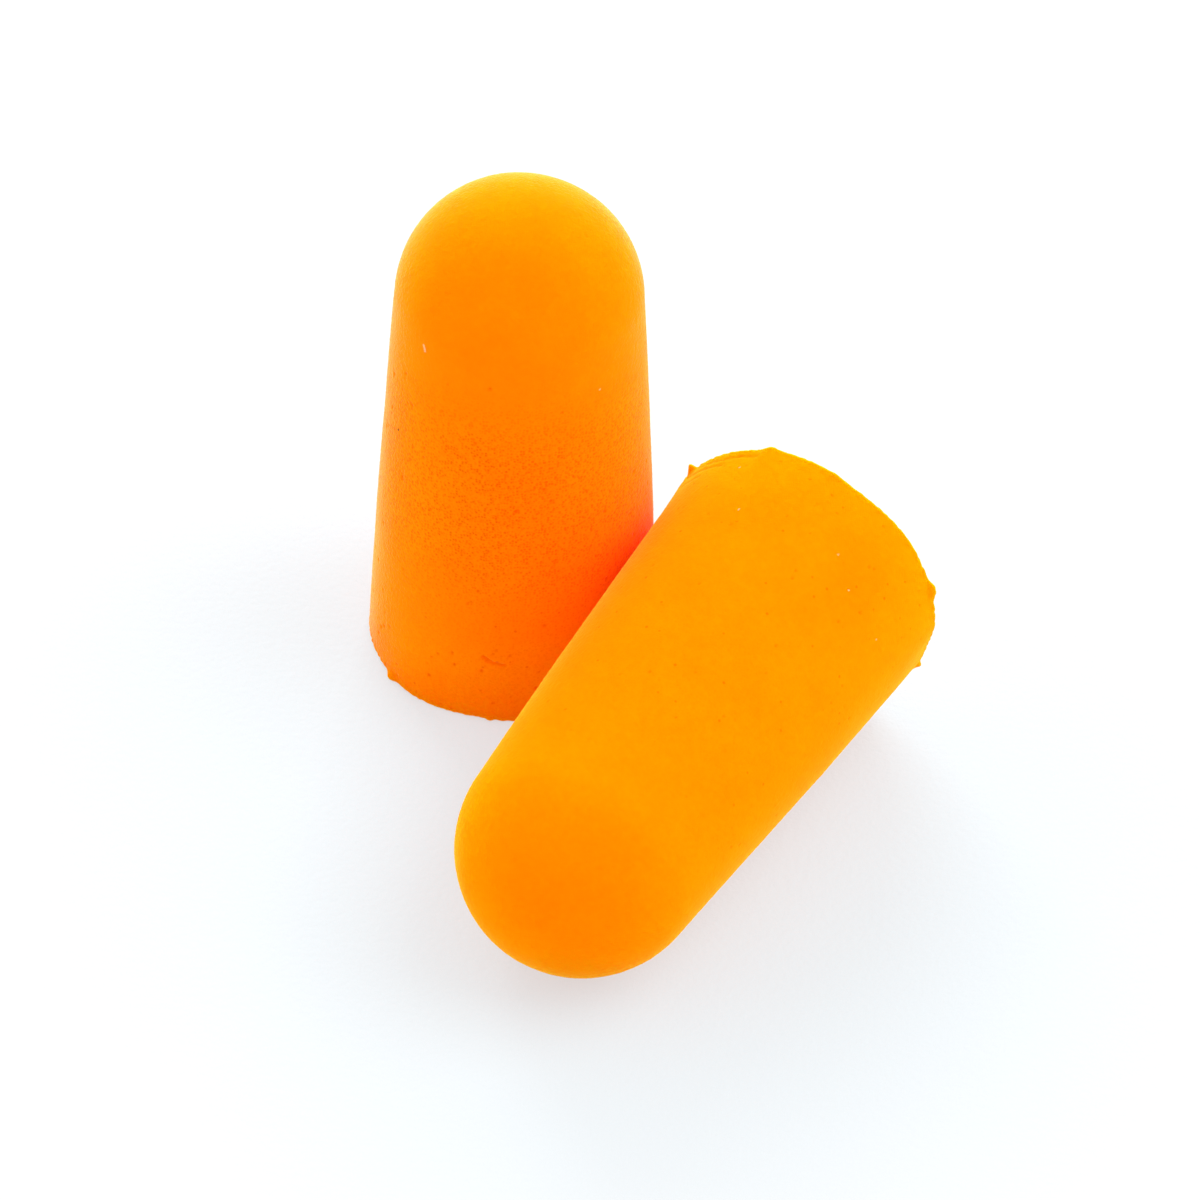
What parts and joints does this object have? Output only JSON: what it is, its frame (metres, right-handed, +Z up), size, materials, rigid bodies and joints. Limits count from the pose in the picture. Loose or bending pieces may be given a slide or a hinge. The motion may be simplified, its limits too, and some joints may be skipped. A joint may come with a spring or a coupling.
{
  "type": "foam ear plugs",
  "caption": "Tapered soft foam ear plugs with round noses and flat cut ends, rolled thin and left to swell in the ear canal to keep noise out.",
  "frame": {"origin": "on the surface the plugs rest on, under the middle of the box around both", "axes": "+Z up, along the axis of the standing plug; +Y away from the viewer; the lying plug's nose points towards -Y and a little towards -X"},
  "size_m": [0.0244, 0.0302, 0.0237],
  "materials": {
    "foam": "matte slow-recovery foam with a fine-celled skin"
  },
  "bodies": {
    "standing": {"standing_plug": "foam"},
    "lying": {"lying_plug": "foam"}
  },
  "joints": [
    {"name": "lying_plug_lift", "type": "slide", "parent": "standing", "child": "lying", "axis": [0, 0, 1], "range_m": [0, 0.03]}
  ]
}
